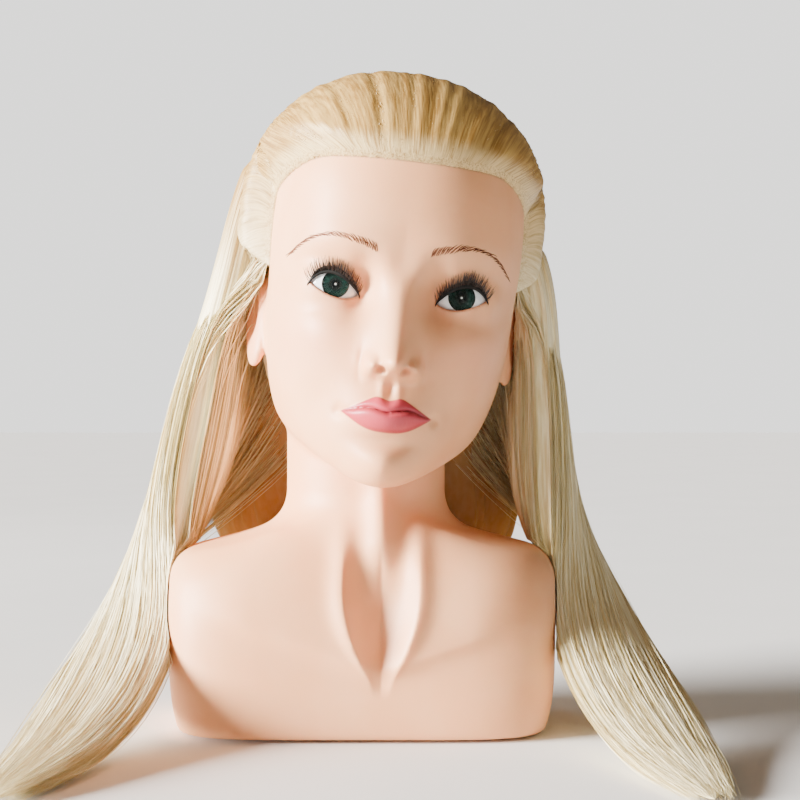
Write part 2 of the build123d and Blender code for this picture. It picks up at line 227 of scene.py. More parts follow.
def relief(u, w):
    """How far the face stands out of the plain skull, over its front view."""
    x = np.abs(u)
    d = NOSE_RISE(w) * np.exp(-1.35 * (x / NOSE_HALF(w)) ** 2)
    d = d + 1.8 * bump(x, w, 0, 83, 6.5, 5.5) + 7.8 * bump(x, w, 12.0, 80.6, 3.7, 4.6)
    d = d - 1.9 * bump(x, w, 16.6, 82.5, 1.9, 6.5) - 0.9 * bump(x, w, 7.6, 85.5, 1.8, 3.2)
    d = d - 9.5 * bump(x, w, 19.5, 122, 7.5, 13) - 5.0 * bump(x, w, 33, 120, 17, 12)
    d = d - 2.0 * bump(x, w, 40, 132, 16, 7)
    d = d + 1.6 * bump(x, w, 30, 147, 24, 9) - 1.0 * bump(x, w, 0, 133, 8, 9)
    d = d + 3.0 * bump(x, w, 42, 98, 17, 15) - 1.2 * bump(x, w, 24, 108, 9, 10)
    d = d - 2.0 * bump(x, w, 66, 150, 18, 30)
    d = d + 3.6 * bump(x, w, 0, 59, 21, 14) - 2.4 * bump(x, w, 34, 60, 12, 16)
    d = d - 1.7 * bump(x, w, 0, 70.5, 2.3, 6.5) + 0.9 * bump(x, w, 4.6, 70, 2.2, 6)
    d = d - 3.4 * bump(x, w, 0, 41.8, 15, 5.0) + 4.2 * bump(x, w, 0, 28, 15, 10)
    d = d - 1.6 * bump(x, w, 25.8, 55.4, 3.0, 3.4)
    upper, lower, parting = UPPER_LIP(x), LOWER_LIP(x), PARTING(x)
    fade = np.clip(1 - (x / MOUTH_HALF) ** 2, 0, 1)
    s = np.clip((w - parting) / np.maximum(upper - parting, 0.3), 0, 1.4)
    t = np.clip((parting - w) / np.maximum(parting - lower, 0.3), 0, 1.4)
    over = (w > parting) * 3.1 * fade**0.55 * np.clip(1 - s**2.4, 0, 1)
    over = over * (0.62 + 0.38 * np.exp(-(x / 7) ** 2))
    under = (w <= parting) * 4.4 * fade**0.6 * np.clip(1 - t**2.6, 0, 1) ** 0.9
    crease = 1.6 * fade**0.3 * np.exp(-((w - parting) / 1.35) ** 2) * (x < MOUTH_HALF + 1)
    return d + over + under - crease


def ellipsoid(p, centre, radii):
    """A signed distance, near enough, from an ellipsoid."""
    k = np.sqrt(sum(((c - m) / r) ** 2 for c, m, r in zip(p, centre, radii)))
    return (k - 1) * min(radii)


def skull_distance(u, v, w):
    """The plain skull. The three arrays broadcast against each other."""
    half, power = SKULL_HALF(w), SKULL_POWER(w)
    front, back = WIDEST - SKULL_FRONT(w), SKULL_BACK(w) - WIDEST
    forward = v < WIDEST
    power = np.where(forward, power, 2.2)
    reach = np.where(forward, front, back)
    q = (np.abs(u) / half) ** power + (np.abs(v - WIDEST) / reach) ** power
    rho = np.sqrt(u**2 + (v - WIDEST) ** 2) + 1e-6
    level = rho * (1 - np.maximum(q, 1e-9) ** (-1 / power))
    steep = np.interp(w, SKULL_ROWS, SKULL_STEEP)
    return level / np.sqrt(1 + steep**2)


def head_distance(u, v, w):
    """The head with its face, ears and eye openings."""
    d = skull_distance(u, v, w)
    d = smooth_max(d, w - SKULL_TOP, 6.0)
    d = smooth_max(d, (SKULL_BOTTOM + JAW_SLOPE * (v + 80) - w) * 0.94, 12.0)
    d = d - relief(u, w) * smoothstep(-22, -50, v)
    x = np.abs(u)
    near = (x - EYE_U, v - EYE_V, w - EYE_W)
    ball = np.sqrt(near[0] ** 2 + near[1] ** 2 + near[2] ** 2)
    d = smooth_min(d, ball - (EYE_R + LID), 5.0)
    upper, lower = lid_edges(u)
    outside = np.maximum(w - upper, lower - w) * 0.9
    hole = np.maximum(np.maximum(outside, (EYE_R - 4.5) - ball), v - EYE_V)
    d = smooth_max(d, -hole, 0.7)
    for side in (-1, 1):
        nostril = ellipsoid((u, v + 0.55 * (w - 78.5), w), (side * 6.4, -98.0, 78.6), (2.9, 4.6, 2.6))
        d = smooth_max(d, -nostril, 1.6)
    return smooth_min(d, ear_distance(u, v, w), 3.0)


def ear_distance(u, v, w):
    """Both ears: a tilted dish with a rolled rim and a lobe."""
    x = np.abs(u)
    lean = radians(14)
    b = (v - 14) * cos(lean) - (w - 103) * sin(lean)
    c = (v - 14) * sin(lean) + (w - 103) * cos(lean)
    out = x - np.where(u > 0, 69.8, 72.5) - 0.30 * (b + 12)
    dish = ellipsoid((out, b, c), (0.0, 0.0, 4.0), (4.2, 15.0, 25.0))
    lobe = ellipsoid((out, b, c), (-0.8, -5.0, np.where(u > 0, -12.5, -19.0)), (3.2, 6.5, 8.0))
    bowl = ellipsoid((out, b, c), (4.6, -1.0, 2.0), (4.4, 9.0, 15.0))
    d = smooth_min(dish, lobe, 5.0)
    return smooth_max(d, -bowl, 2.0)


# The bust: half width, front and back against height, in the row frame
BUST_HALF = spline([
    (0, 103), (3, 104.5), (8, 106), (14, 107.5), (24, 109), (52, 110.3), (76, 110.6), (100, 110.5),
    (140, 110)
])
BUST_FRONT = spline([
    (0, -59), (6, -61), (14, -61.5), (30, -61.8), (52, -62), (76, -60), (95, -54), (112, -46),
    (140, -40)
])
BUST_BACK = spline([(0, 52), (6, 54.5), (14, 56), (30, 57.5), (52, 58), (80, 58), (100, 56), (140, 52)])
SHOULDER = spline([
    (0, 124), (30, 122), (46, 119), (58, 115), (72, 110.5), (94, 105.0), (106, 101.5), (125, 96)
])
BUST_POWER = spline([(0, 4.7), (40, 4.4), (80, 3.8), (100, 3.1), (120, 2.8), (140, 2.8)])
NECK_X, NECK_Y = 1.6, 6.5
NECK_HALF, NECK_REACH = 46.2, 45.5
FOOT_Z = 2.0
HOLLOW_X = 11.3
RECESS_HALF, RECESS_FRONT, RECESS_BACK, RECESS_TOP, RECESS_POWER = 87.2, 45.2, 42.2, 6.8, 2.7
FOAM_SKIN = 4.0
FOAM_BOTTOM = 7.0
TUBE_R, TUBE_TOP = 15.8, 83.0
HOLLOW_HALF = spline([(20, 4), (31, 5), (45, 11), (60, 17), (75, 20.5), (100, 21), (140, 21)])


def bust_distance(x, y, z):
    """The cut-off shoulders, with the collarbones and the hollow between the neck's two tendons."""
    half, front, back, power = BUST_HALF(z), BUST_FRONT(z), BUST_BACK(z), BUST_POWER(z)
    reach = np.where(y < 0, -front, back)
    q = (np.abs(x) / half) ** power + (np.abs(y) / reach) ** power
    rho = np.sqrt(x**2 + y**2) + 1e-6
    sides = rho * (1 - np.maximum(q, 1e-9) ** (-1 / power))
    top = (z - SHOULDER(np.abs(x)) + ((y - 5) / 60) ** 2 * 9) * 0.96
    d = smooth_max(sides, top, 13.0)
    d = smooth_max(d, FOOT_Z - z, 3.0)
    deep = np.where(y < 0, RECESS_FRONT, RECESS_BACK)
    plate = (np.abs(x) / RECESS_HALF) ** RECESS_POWER + (np.abs(y) / deep) ** RECESS_POWER
    recess = np.maximum(rho * (1 - np.maximum(plate, 1e-9) ** (-1 / RECESS_POWER)), z - RECESS_TOP)
    d = smooth_max(d, -recess, 0.8)
    neck = np.sqrt(((x - NECK_X) / NECK_HALF) ** 2 + ((y - NECK_Y) / NECK_REACH) ** 2)
    neck = np.maximum((neck - 1) * NECK_REACH, np.maximum(88 - z, z - 215))
    d = smooth_min(d, neck, 17.0)
    across = (x - HOLLOW_X) / HOLLOW_HALF(z)
    ahead = smoothstep(-18, -34, y)
    shoulder_line = 42 + 0.33 * np.abs(x - HOLLOW_X)
    over = z - shoulder_line
    cloak = np.where(over > 0, np.exp(-(over / 30) ** 2), np.exp(-(over / 7) ** 2))
    cloak = cloak * 3.4 * smoothstep(98, 60, np.abs(x))
    tall = smoothstep(112, 88, z) * smoothstep(24, 58, z)
    tendons = 3.6 * np.exp(-((np.abs(across) - 1.0) / 0.32) ** 2)
    tendons = tendons * smoothstep(128, 100, z) * smoothstep(34, 66, z)
    valley = 10.0 * np.clip(1 - np.abs(across), 0, 1) ** 0.9 * tall
    windpipe = 6.0 * np.exp(-(across / 0.42) ** 2) * smoothstep(70, 100, z)
    return d - ahead * (cloak + tendons + windpipe - valley)


def row_axes(u, v, w):
    """The row frame's x, y and z at places of the head's frame."""
    return (HEAD[k, 0] * u + HEAD[k, 1] * v + HEAD[k, 2] * w + NECK_PIVOT[k] for k in range(3))


def figure_distance(u, v, w):
    """The whole skin: head, neck and bust, from points of the head's frame."""
    d = head_distance(u, v, w)
    return smooth_min(d, bust_distance(*row_axes(u, v, w)), 7.0)


def foam_distance(u, v, w):
    """The foam core: inside the skin, above the base plate and around the socket and the eyes."""
    x, y, z = row_axes(u, v, w)
    tube = np.maximum(np.sqrt(x**2 + y**2) - TUBE_R, z - TUBE_TOP)
    ball = np.sqrt((np.abs(u) - EYE_U) ** 2 + (v - EYE_V) ** 2 + (w - EYE_W) ** 2) - (EYE_R + 0.6)
    inside = np.maximum(figure_distance(u, v, w) + FOAM_SKIN, FOAM_BOTTOM - z)
    return np.maximum(inside, np.maximum(-tube, -ball))


def graded(spans):
    """Grid lines from (start, end, step) spans that follow each other."""
    lines = [np.arange(a, b - 1e-6, step) for a, b, step in spans]
    return np.concatenate([*lines, [spans[-1][1]]]).astype(np.float32)


def surface_net(axes, values):
    """The zero level of a grid of values, as points and quads."""
    inside = values < 0
    corners = sum(inside[a:a - 1 or None, b:b - 1 or None, c:c - 1 or None].astype(np.int8)
                  for a in (0, 1) for b in (0, 1) for c in (0, 1))
    cells = (corners > 0) & (corners < 8)
    number = np.full(cells.shape, -1, np.int64)
    number[cells] = np.arange(cells.sum())
    total, count, quads = np.zeros((cells.sum(), 3)), np.zeros(cells.sum()), []
    for axis in range(3):
        low = [slice(None)] * 3
        high = [slice(None)] * 3
        low[axis], high[axis] = slice(None, -1), slice(1, None)
        a, b = values[tuple(low)], values[tuple(high)]
        at = np.argwhere((a < 0) != (b < 0))
        va, vb = a[tuple(at.T)], b[tuple(at.T)]
        point = np.stack([axes[k][at[:, k]] for k in range(3)], 1).astype(float)
        point[:, axis] += va / (va - vb) * (axes[axis][at[:, axis] + 1] - axes[axis][at[:, axis]])
        others = [k for k in range(3) if k != axis]
        ring, usable = [], np.ones(len(at), bool)
        for da, db in ((0, 0), (-1, 0), (-1, -1), (0, -1)):
            cell = at.copy()
            cell[:, others[0]] += da
            cell[:, others[1]] += db
            good = np.all((cell >= 0) & (cell < cells.shape), 1)
            usable &= good
            ids = np.where(good, number[tuple(np.clip(cell, 0, np.array(cells.shape) - 1).T)], -1)
            ring.append(ids)
            np.add.at(total, ids[good], point[good])
            np.add.at(count, ids[good], 1)
        quad = np.stack(ring, 1)[usable]
        flip = (va < 0)[usable] ^ (axis == 1)
        quad[flip] = quad[flip][:, ::-1]
        quads.append(quad)
    return total / count[:, None], np.concatenate(quads)


def settle(points, distance, steps=3):
    """Points moved onto the zero level."""
    e = 0.05
    for _ in range(steps):
        u, v, w = points.T
        d = distance(u, v, w)
        slope = [distance(u + e, v, w) - d, distance(u, v + e, w) - d, distance(u, v, w + e) - d]
        slope = np.stack(slope, 1) / e
        size = np.maximum(np.sum(slope**2, 1), 0.05)
        points = points - np.clip(d / size, -1.5, 1.5)[:, None] * slope
    return points


def add_mesh(name, points, faces):
    """A smooth mesh object from points in the row frame, in millimetres."""
    mesh = bpy.data.meshes.new(name)
    points = np.ascontiguousarray(np.asarray(points, np.float32) * MM)
    faces = np.ascontiguousarray(faces, np.int32)
    size = faces.shape[1]
    mesh.vertices.add(len(points))
    mesh.vertices.foreach_set("co", points.ravel())
    mesh.loops.add(faces.size)
    mesh.loops.foreach_set("vertex_index", faces.ravel())
    mesh.polygons.add(len(faces))
    mesh.polygons.foreach_set("loop_start", np.arange(0, faces.size, size, dtype=np.int32))
    mesh.polygons.foreach_set("use_smooth", np.full(len(faces), True))
    mesh.update()
    mesh.validate()
    piece = bpy.data.objects.new(name, mesh)
    bpy.context.scene.collection.objects.link(piece)
    return piece


def paint(piece, name, values):
    """A number for each vertex, which materials read by name."""
    layer = piece.data.attributes.new(name, "FLOAT", "POINT")
    layer.data.foreach_set("value", np.asarray(values, np.float32))


def march(u, w, lift):
    """The depths v where rays straight into the face meet the skin, raised by lift."""
    v = np.full(np.shape(u), -125.0)
    for _ in range(70):
        v = v + 0.9 * np.clip(figure_distance(u, v, w) - lift, -2, 6)
    return v


# ---------------------------------------------------------------- skin, scalp and foam

def rounded(a, b):
    """The distance from the corner where a and b are both 0: round outside it, and square inside."""
    return np.hypot(np.maximum(a, 0), np.maximum(b, 0)) + np.minimum(np.maximum(a, b), 0)


def hairline_gap(u, v, w):
    """How far a point is from the face's bare window: above 0 where the scalp is rooted with hair."""
    across = np.abs(u) - (WINDOW_HALF - WINDOW_CORNER)
    up = w - (HAIRLINE - WINDOW_CORNER)
    front = np.maximum(rounded(across, up) - WINDOW_CORNER, v - TEMPLE_V)
    ear = rounded(v - BEHIND_EAR_V + EAR_ROUND, w - EAR_TOP_W + EAR_ROUND) - EAR_ROUND
    return np.minimum(np.minimum(front, ear), w - NAPE_W)


def sculpt(distance, axes):
    """The skin of a distance function, as points of the head's frame and quads."""
    u, v, w = np.meshgrid(*axes, indexing="ij", sparse=True)
    slabs = [distance(u, v, part).astype(np.float32) for part in np.array_split(w, 8, axis=2)]
    points, quads = surface_net(axes, np.concatenate(slabs, axis=2))
    return settle(points, distance), quads


def submesh(points, quads, keep):
    """The kept quads with only the points that they use."""
    quads = quads[keep]
    used, renumbered = np.unique(quads, return_inverse=True)
    return points[used], renumbered.reshape(quads.shape)


def paint_face(piece, points):
    """Masks for the painted lips, lids and blush, and for painted shade in the nostrils and along the lips'
    parting, as signed distances or soft spots.
    """
    u, v, w = points.T
    x, facing = np.abs(u), v < -55
    upper, lower, parting = UPPER_LIP(x), LOWER_LIP(x), PARTING(x)
    lip = np.minimum(np.minimum(upper - w, w - lower) * 0.85, MOUTH_HALF + 0.4 - x)
    paint(piece, "lip_edge", np.where(facing, np.clip(lip, -4, 4), -4))
    # Where the lips meet, the parting mask paints shade into the crease.
    paint(piece, "lip_parting_shade", np.where(facing & (x < MOUTH_HALF), np.clip(np.abs(w - parting), 0, 6), 6))
    lid_top, lid_low = lid_edges(u)
    inner, outer = INNER_CORNER[0], OUTER_CORNER[0]
    span = smoothstep(inner - 2, inner + 1, x) * smoothstep(outer + 2, outer - 1, x)
    ball = np.sqrt((x - EYE_U) ** 2 + (v - EYE_V) ** 2 + (w - EYE_W) ** 2)
    lids = facing & (ball < EYE_R + 9)
    paint(piece, "lid_line", np.where(lids, span * np.exp(-((w - lid_low + 0.35) / 0.75) ** 2), 0))
    paint(piece, "lid_shadow", np.where(lids, span * np.exp(-((w - lid_top - 2.2) / 3.6) ** 2), 0))
    # The nostril mask paints shade: darker spots in the nostril dimples, where shade falls.
    nostril = sum(np.exp(-((u - s * 6.6) / 2.6) ** 2 - ((w - 79.4) / 2.4) ** 2) for s in (-1, 1))
    paint(piece, "nostril", np.where(v < -88, nostril, 0))
    blush = 0.8 * bump(x, w, 46, 92, 20, 16) + 0.5 * bump(x, w, 16, 86, 7, 8)
    blush = blush + 0.6 * bump(x, w, 26, 116, 12, 9)
    ears = 0.7 * smoothstep(71, 75, x) * (v > -20) * smoothstep(60, 80, w)
    paint(piece, "blush", np.where(v < -20, blush, 0) + ears)
    paint(piece, "seam", np.exp(-((hairline_gap(u, v, w) + 0.4) / 0.55) ** 2))


def make_skin():
    """Vinyl skin, scalp and foam core from one sculpted form."""
    fine, mid, coarse = ((0.85, 1.7, 3.2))
    axes = (graded([(-128, -80, coarse), (-80, -56, mid), (-56, 56, fine), (56, 80, mid), (80, 128, coarse)]),
            graded([(-114, -60, fine), (-60, -20, mid), (-20, 100, coarse)]),
            graded([(-142, 8, mid * 1.3), (8, 160, fine), (160, 246, mid)]))
    points, quads = sculpt(figure_distance, axes)
    gap = hairline_gap(*points.T)
    rooted = gap[quads].mean(1) > 0
    pieces = []
    parts = (("bust_skin_sculpt", ~rooted, "bust_skin"), ("scalp_sculpt", rooted, "scalp_cap"))
    for name, keep, node in parts:
        part, faces = submesh(points, quads, keep)
        piece = add_mesh(name, to_row(part), faces)
        paint_face(piece, part)
        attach(piece, "root")
        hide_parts(node)
        pieces.append(piece)
    axes = (graded([(-128, 128, 4.5)]), graded([(-110, 100, 4.5)]), graded([(-142, 244, 4.5)]))
    core, faces = sculpt(foam_distance, axes)
    foam = add_mesh("foam_core_sculpt", to_row(core), faces)
    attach(foam, "root")
    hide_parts("foam_core")
    return pieces[0], pieces[1], foam


# ---------------------------------------------------------------- lashes and brows

def lid_point(side, t, rise, lift):
    """A point above the upper lid's edge, at t across the eye, raised off the skin by lift."""
    x = INNER_CORNER[0] + (OUTER_CORNER[0] - INNER_CORNER[0]) * t
    w = lid_curve(t, UPPER_LID_RISE) + rise
    return np.stack([side * x, march(side * x, w, lift), w], -1)


def make_lash_band(side, name):
    """The strip that the lashes grow from: a thin curved band glued along the upper lid."""
    t = np.linspace(-0.04, 1.06, 60)
    width = 4.0 * np.clip(smoothstep(-0.16, 0.12, t) * smoothstep(1.18, 0.86, t), 0.10, 1)
    rows = [lid_point(side, t, -0.15 + width * k / 5, 0.15 + 0.5 * sin(pi * (k + 0.6) / 6.2))
            for k in range(6)]
    under = [lid_point(side, t, -0.15 + width * k / 5, -0.4) for k in (5, 0)]
    ring = np.stack(rows + under, 1)
    count, around = ring.shape[:2]
    k, j = np.meshgrid(np.arange(count - 1), np.arange(around), indexing="ij")
    right = (j + 1) % around
    quads = np.stack([k * around + j, (k + 1) * around + j, (k + 1) * around + right, k * around + right], -1)
    band = add_mesh(name, to_row(ring.reshape(-1, 3)), quads.reshape(-1, 4))
    return band


def tapered_fibres(name, spines, radii, sides=3):
    """Closed fine fibres that taper to a point, one for each spine of points in the head's frame."""
    count, long = spines.shape[:2]
    along = np.gradient(spines, axis=1)
    along /= np.linalg.norm(along, axis=2, keepdims=True)
    aside = np.cross(along, np.array([0.3, -1.0, 0.2]))
    aside /= np.linalg.norm(aside, axis=2, keepdims=True)
    third = np.cross(along, aside)
    turn = 2 * pi * np.arange(sides) / sides
    taper = np.sqrt(np.clip(1 - np.linspace(0, 1, long) ** 1.5, 0.02, 1))
    reach = (radii[:, None] * taper)[:, :, None, None]
    across = np.cos(turn)[:, None] * aside[:, :, None] + np.sin(turn)[:, None] * third[:, :, None]
    ring = spines[:, :, None] + reach * across
    base = (np.arange(count) * long * sides)[:, None, None]
    k, j = np.meshgrid(np.arange(long - 1), np.arange(sides), indexing="ij")
    right = (j + 1) % sides
    quad = np.stack([k * sides + j, k * sides + right, (k + 1) * sides + right, (k + 1) * sides + j], -1)
    return add_mesh(name, to_row(ring.reshape(-1, 3)), (base[..., None] + quad[None]).reshape(-1, 4))


def make_lashes(side, name, rng):
    """The fan of lash hairs: tufts that leave the lid forwards, then curl up and outwards."""
    count = 150
    t = np.linspace(-0.02, 1.04, count) + rng.normal(0, 0.006, count)
    root = lid_point(side, t, 2.1 + rng.uniform(-0.9, 0.7, count), 0.35)
    tuft = np.round(t * 15) / 15
    lean = (tuft - 0.42) * 1.05 + rng.normal(0, 0.10, count)
    length = (5.4 + 2.2 * np.sin(pi * np.clip(t, 0, 1)) + 0.9 * t) * rng.uniform(0.72, 1.06, count)
    s = np.linspace(0, 1, 8)
    forward = length[:, None] * (0.62 * s - 0.16 * s**2)
    upward = length[:, None] * (0.38 * s + 0.52 * s**2)
    outward = length[:, None] * lean[:, None] * (0.75 * s + 0.1 * s**2)
    spines = root[:, None] + np.stack([side * outward, -forward, upward], -1)
    return tapered_fibres(name, spines, rng.uniform(0.14, 0.22, count))


def make_brows(rng):
    """Painted brow hairs as fine raised strokes, dense by the nose and single at the tail."""
    spines, widths = [], []
    for side in (-1, 1):
        for k in range(66):
            t = ((k + rng.uniform(0.2, 0.8)) / 66) ** 1.2
            x = 14.0 + 44.0 * t
            lower = BROW_LOWER(x)
            thick = BROW_THICK(x)
            begin = (0.0, 0.30)[k % 2] + rng.uniform(-0.12, 0.08)
            tilt = radians(84 - 100 * t**1.1 + rng.normal(0, 3))
            reach = (4.8 + 1.6 * t) * rng.uniform(0.85, 1.05)
            s = np.linspace(0, 1, 7)
            bend = tilt - 0.55 * s
            u = x + reach * np.cumsum(np.cos(bend)) / 7
            w = lower + begin * thick + reach * np.cumsum(np.sin(bend)) / 7
            top = BROW_LOWER(u) + thick * 1.25
            w = np.minimum(w, top + 0.6 * (w - top))
            spines.append(np.stack([side * u, np.zeros(7), w], -1))
            widths.append(rng.uniform(0.20, 0.28))
    spines = np.array(spines)
    spines[..., 1] = march(spines[..., 0], spines[..., 2], 0.10)
    along = np.gradient(spines, axis=1)
    aside = np.cross(along, np.array([0.0, 1.0, 0.0]))
    aside /= np.linalg.norm(aside, axis=2, keepdims=True)
    profile = np.array([0.5, 0.9, 1.0, 0.95, 0.75, 0.45, 0.08])
    half = (np.array(widths)[:, None] * profile)[..., None] * aside
    count = len(spines)
    ridge = spines + np.array([0, -0.12, 0])
    rows = np.stack([spines - half, ridge, spines + half], 2)
    base = (np.arange(count) * 21)[:, None, None]
    k, j = np.meshgrid(np.arange(6), np.arange(2), indexing="ij")
    quad = np.stack([k * 3 + j, k * 3 + j + 1, (k + 1) * 3 + j + 1, (k + 1) * 3 + j], -1)
    quads = (base[..., None] + quad[None]).reshape(-1, 4)
    return add_mesh("brow_strokes", to_row(rows.reshape(-1, 3)), quads)


# ---------------------------------------------------------------- hair

def skull_over(u, v, w):
    """The distance from the skull, carried on over its top, where its sections end."""
    return smooth_max(skull_distance(u, v, np.minimum(w, SKULL_HIGH)), w - SKULL_TOP, 6.0)


def crown_gap(u, v, w):
    """How far the scalp under a point is from the hairline, above 0 where it is rooted with hair."""
    middle = np.clip(w, 60, 150)
    far = np.sqrt(u**2 + (v - WIDEST) ** 2 + (w - middle) ** 2) + 1e-6
    skull = skull_over(u, v, w)
    sink = 1 - np.clip(skull, 0, 40) / far
    return hairline_gap(u * sink, WIDEST + (v - WIDEST) * sink, middle + (w - middle) * sink)


def crown_distance(u, v, w):
    """The outside of the hair on the head: it springs up at the hairline, and is fuller on the right."""
    shrink = np.interp(w, (NAPE_W, 110, 152), (0.74, 0.90, 1.0))
    across = np.abs(u - CROWN_U) / (CROWN_HALF * shrink)
    deep = np.abs(v - WIDEST) / np.where(v < WIDEST, CROWN_FRONT, CROWN_BACK * shrink)
    high = np.maximum(w - CROWN_W, 0) / CROWN_HEIGHT
    level = ((across**2.3 + deep**2.3) ** (CROWN_POWER / 2.3) + high**CROWN_POWER) ** (1 / CROWN_POWER)
    reach = np.sqrt((u - CROWN_U) ** 2 + (v - WIDEST) ** 2 + np.maximum(w - CROWN_W, 0) ** 2)
    outer = reach * (1 - 1 / np.maximum(level, 0.05))
    skull = skull_over(u, v, w)
    return smooth_max(outer, skull - 1.4 - 1.6 * crown_gap(u, v, w), 5.0)


def crown_shell(u, v, w):
    """The hair's mass on the head, sunk a little into the scalp so that it meets it cleanly."""
    return np.maximum(crown_distance(u, v, w), -2.0 - figure_distance(u, v, w))


def comb(points):
    """The way that the hair is combed over the scalp, at points of the head's frame."""
    u, v, w = points.T
    side = np.sign(u)
    gap = np.clip(crown_gap(u, v, w), 0, 60)
    rising = np.exp(-gap / 9.0) * smoothstep(20, -20, v) * smoothstep(150, 175, w)
    corner = np.clip((np.abs(u) - 43) / WINDOW_CORNER, 0, 1)
    falling = 1.5 * smoothstep(5, 62, v) + 1.0 * smoothstep(40, 72, np.abs(u)) * smoothstep(-16, 20, v)
    spread = 0.30 * smoothstep(30, 85, v) * smoothstep(210, 150, w) * smoothstep(0, 30, np.abs(u))
    back = 1 - 0.75 * smoothstep(45, 90, v)
    return np.stack([side * (spread + 0.55 * corner * rising), back, rising - falling], -1)


def crown_slope(points):
    """Distances from the hair's outside, and the ways straight out of it."""
    e = 0.1
    u, v, w = points.T
    d = crown_distance(u, v, w)
    slope = np.stack([crown_distance(u + e, v, w) - d, crown_distance(u, v + e, w) - d,
                      crown_distance(u, v, w + e) - d], -1) / e
    return d, slope / np.maximum(np.linalg.norm(slope, axis=-1, keepdims=True), 1e-6)


def comb_step(points, step, level):
    """Points moved one step along the combed hair, and held at a level over the hair's outside."""
    _, normal = crown_slope(points)
    way = comb(points)
    way -= np.sum(way * normal, 1, keepdims=True) * normal
    way /= np.maximum(np.linalg.norm(way, axis=1, keepdims=True), 1e-6)
    moved = points + step * way
    d, normal = crown_slope(moved)
    return moved - np.clip(d - level, -6, 6)[:, None] * normal


def comb_out(roots, levels, step=5.0, steps=52):
    """Paths of hair from its roots over the head to where it hangs free."""
    points, paths = roots.copy(), [roots.copy()]
    hanging = np.zeros(len(roots), bool)
    for _ in range(steps):
        moved = comb_step(points, step, levels)
        hanging |= (points[:, 2] < HANG_W) & (points[:, 1] > HANG_V)
        points = np.where(hanging[:, None], points, moved)
        paths.append(points)
    return np.stack(paths, 1)


def traced_back(points, step=3.5, steps=66, edge=1.5):
    """Where on the hairline the hair at each point comes from, and how far it has come."""
    roots, far = points.copy(), np.zeros(len(points))
    live = np.arange(len(points))
    here, gap = points.copy(), crown_gap(*points.T)
    for _ in range(steps):
        going = gap > edge
        live, here, gap = live[going], here[going], gap[going]
        if not len(live):
            break
        moved = comb_step(here, -step, 0.0)
        after = crown_gap(*moved.T)
        share = np.where(after < edge, (gap - edge) / np.maximum(gap - after, 1e-6), 1.0)
        roots[live] = here + share[:, None] * (moved - here)
        far[live] += share * step
        here, gap = moved, after
    return roots, far


def resample(paths, count):
    """Each path as count points, evenly spaced along it."""
    lengths = np.linalg.norm(np.diff(paths, axis=1), axis=2)
    at = np.concatenate([np.zeros((len(paths), 1)), np.cumsum(lengths, 1)], 1)
    even = np.linspace(0, 1, count)
    out = np.empty((len(paths), count, paths.shape[2]))
    for n in range(len(paths)):
        far = at[n] + np.arange(at.shape[1]) * 1e-9
        for k in range(paths.shape[2]):
            out[n, :, k] = np.interp(even * far[-1], far, paths[n, :, k])
    return out


def scatter_roots(rng, count, low_w, high_w, band=None):
    """Random root places on the scalp, in the head's frame."""
    found = np.zeros((0, 3))
    while len(found) < count:
        turn, rise = rng.uniform(0, 2 * pi, 4 * count), rng.uniform(-1, 1, 4 * count)
        ring = np.sqrt(1 - rise**2)
        p = np.stack([72 * ring * np.cos(turn), 5 + 90 * ring * np.sin(turn), 150 + 88 * rise], -1)
        for _ in range(6):
            d, normal = crown_slope(p)
            p = p - np.clip(d, -20, 20)[:, None] * normal
        gap = crown_gap(*p.T)
        good = (gap > 0.3) & (p[:, 2] > low_w) & (p[:, 2] < high_w)
        if band:
            good &= (gap < band) & (p[:, 1] < 12)
        found = np.concatenate([found, p[good]])
    return found[:count]


class Fall:
    """One fall of hair: its line, and its section's two axes, against t from 0 to 1."""

    def __init__(self, stations, side):
        rows = np.array(stations, float)
        at = np.linspace(0, 1, len(rows))
        self.side, self.at, self.heights = side, at, rows[:, 2]
        self.splines = [spline(list(zip(at, column))) for column in rows.T]

    def at_height(self, z):
        return np.interp(-z, -self.heights, self.at)

    def points(self, t, a, b):
        """Places in the fall: t along it, a across it, b towards its outer face. Also that face's way."""
        x, y, z, width, thick, turn = (curve(t) for curve in self.splines)
        line = np.stack([x, y, z], -1)
        along = np.gradient(line, axis=1)
        along /= np.linalg.norm(along, axis=2, keepdims=True)
        turn = np.radians(turn)
        across = np.stack([np.sin(turn), np.cos(turn), np.zeros_like(turn)], -1)
        across -= np.sum(across * along, 2, keepdims=True) * along
        across /= np.linalg.norm(across, axis=2, keepdims=True)
        outward = -np.cross(across, along)
        places = line + (a * width / 2)[..., None] * across + (b * thick / 2)[..., None] * outward
        mirrored = np.array([self.side, 1, 1])
        return places * mirrored, outward * mirrored


FALLS = (Fall(RIGHT_FALL, -1), Fall(LEFT_FALL, 1))


def around(turn):
    """A place on a fall's rounded outline: 0 is its back edge and a quarter turn its outer face."""
    a, b = np.cos(turn), np.sin(turn)
    return np.sign(a) * np.abs(a) ** 0.87, np.sign(b) * np.abs(b) ** 0.87


